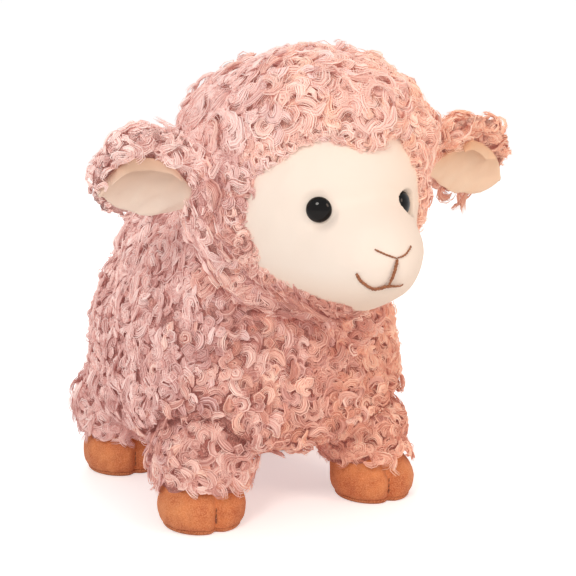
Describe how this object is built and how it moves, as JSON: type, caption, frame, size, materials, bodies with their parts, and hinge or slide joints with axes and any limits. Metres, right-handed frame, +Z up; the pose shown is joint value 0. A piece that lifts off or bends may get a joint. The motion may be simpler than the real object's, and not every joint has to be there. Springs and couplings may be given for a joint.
{
  "type": "plush sheep",
  "caption": "Stuffed toy sheep standing on short legs, with a curly hood and body, smooth face, cupped ears and felted hooves.",
  "frame": {"origin": "on the floor, below the middle of the whole toy's box", "axes": "+Z up, the sheep faces -Y, its left side is +X"},
  "size_m": [0.274, 0.3102, 0.2844],
  "materials": {
    "curly_pink": "matte",
    "cream_plush": "matte",
    "tan_plush": "matte",
    "fibre_fill": "matte",
    "brown_thread": "satin",
    "black_plastic": "gloss",
    "clear_plastic": "satin"
  },
  "bodies": {
    "body": {"body_left_panel": "curly_pink", "body_right_panel": "curly_pink", "belly_panel": "curly_pink", "body_stuffing": "fibre_fill"},
    "neck": {"neck_stuffing": "fibre_fill"},
    "head": {"head_left_panel": "curly_pink", "head_right_panel": "curly_pink", "face_panel": "cream_plush", "head_stuffing": "fibre_fill", "eye_left": "black_plastic", "eye_right": "black_plastic", "eye_washer_left": "clear_plastic", "eye_washer_right": "clear_plastic", "nose_embroidery": "brown_thread", "mouth_embroidery": "brown_thread"},
    "ear_left": {"ear_left_back": "curly_pink", "ear_left_lining": "cream_plush"},
    "ear_right": {"ear_right_back": "curly_pink", "ear_right_lining": "cream_plush"},
    "tail": {"tail_cover": "curly_pink", "tail_stuffing": "fibre_fill"},
    "front_left_leg": {"front_left_leg_cover": "curly_pink", "front_left_leg_stuffing": "fibre_fill", "front_left_hoof_cover": "tan_plush", "front_left_hoof_sole": "tan_plush", "front_left_hoof_cleft_stitch": "brown_thread"},
    "front_right_leg": {"front_right_leg_cover": "curly_pink", "front_right_leg_stuffing": "fibre_fill", "front_right_hoof_cover": "tan_plush", "front_right_hoof_sole": "tan_plush", "front_right_hoof_cleft_stitch": "brown_thread"},
    "rear_left_leg": {"rear_left_leg_cover": "curly_pink", "rear_left_leg_stuffing": "fibre_fill", "rear_left_hoof_cover": "tan_plush", "rear_left_hoof_sole": "tan_plush", "rear_left_hoof_cleft_stitch": "brown_thread"},
    "rear_right_leg": {"rear_right_leg_cover": "curly_pink", "rear_right_leg_stuffing": "fibre_fill", "rear_right_hoof_cover": "tan_plush", "rear_right_hoof_sole": "tan_plush", "rear_right_hoof_cleft_stitch": "brown_thread"}
  },
  "joints": [
    {"name": "head_turn", "type": "hinge", "parent": "body", "child": "neck", "pos_m": [0, -0.06095, 0.205], "axis": [0, 0, 1], "range_deg": [-15, 15], "stiffness_Nm_per_rad": 1},
    {"name": "head_nod", "type": "hinge", "parent": "neck", "child": "head", "pos_m": [0, -0.06095, 0.205], "axis": [1, 0, 0], "range_deg": [-5, 10], "stiffness_Nm_per_rad": 1},
    {"name": "ear_left_flap", "type": "hinge", "parent": "head", "child": "ear_left", "pos_m": [0.073, -0.06095, 0.214], "axis": [0, 0.6428, -0.766], "range_deg": [-30, 30], "stiffness_Nm_per_rad": 0.05},
    {"name": "ear_right_flap", "type": "hinge", "parent": "head", "child": "ear_right", "pos_m": [-0.073, -0.06095, 0.214], "axis": [0, 0.6428, -0.766], "range_deg": [-30, 30], "stiffness_Nm_per_rad": 0.05},
    {"name": "tail_wag", "type": "hinge", "parent": "body", "child": "tail", "pos_m": [0, 0.12905, 0.118], "axis": [0, 0, 1], "range_deg": [-25, 25], "stiffness_Nm_per_rad": 0.005},
    {"name": "front_left_leg_swing", "type": "hinge", "parent": "body", "child": "front_left_leg", "pos_m": [0.055, -0.0247, 0.042], "axis": [1, 0, 0], "range_deg": [-8, 8], "stiffness_Nm_per_rad": 0.6},
    {"name": "front_right_leg_swing", "type": "hinge", "parent": "body", "child": "front_right_leg", "pos_m": [-0.055, -0.0247, 0.042], "axis": [1, 0, 0], "range_deg": [-8, 8], "stiffness_Nm_per_rad": 0.6},
    {"name": "rear_left_leg_swing", "type": "hinge", "parent": "body", "child": "rear_left_leg", "pos_m": [0.055, 0.0988, 0.042], "axis": [1, 0, 0], "range_deg": [-8, 8], "stiffness_Nm_per_rad": 0.6},
    {"name": "rear_right_leg_swing", "type": "hinge", "parent": "body", "child": "rear_right_leg", "pos_m": [-0.055, 0.0988, 0.042], "axis": [1, 0, 0], "range_deg": [-8, 8], "stiffness_Nm_per_rad": 0.6}
  ]
}
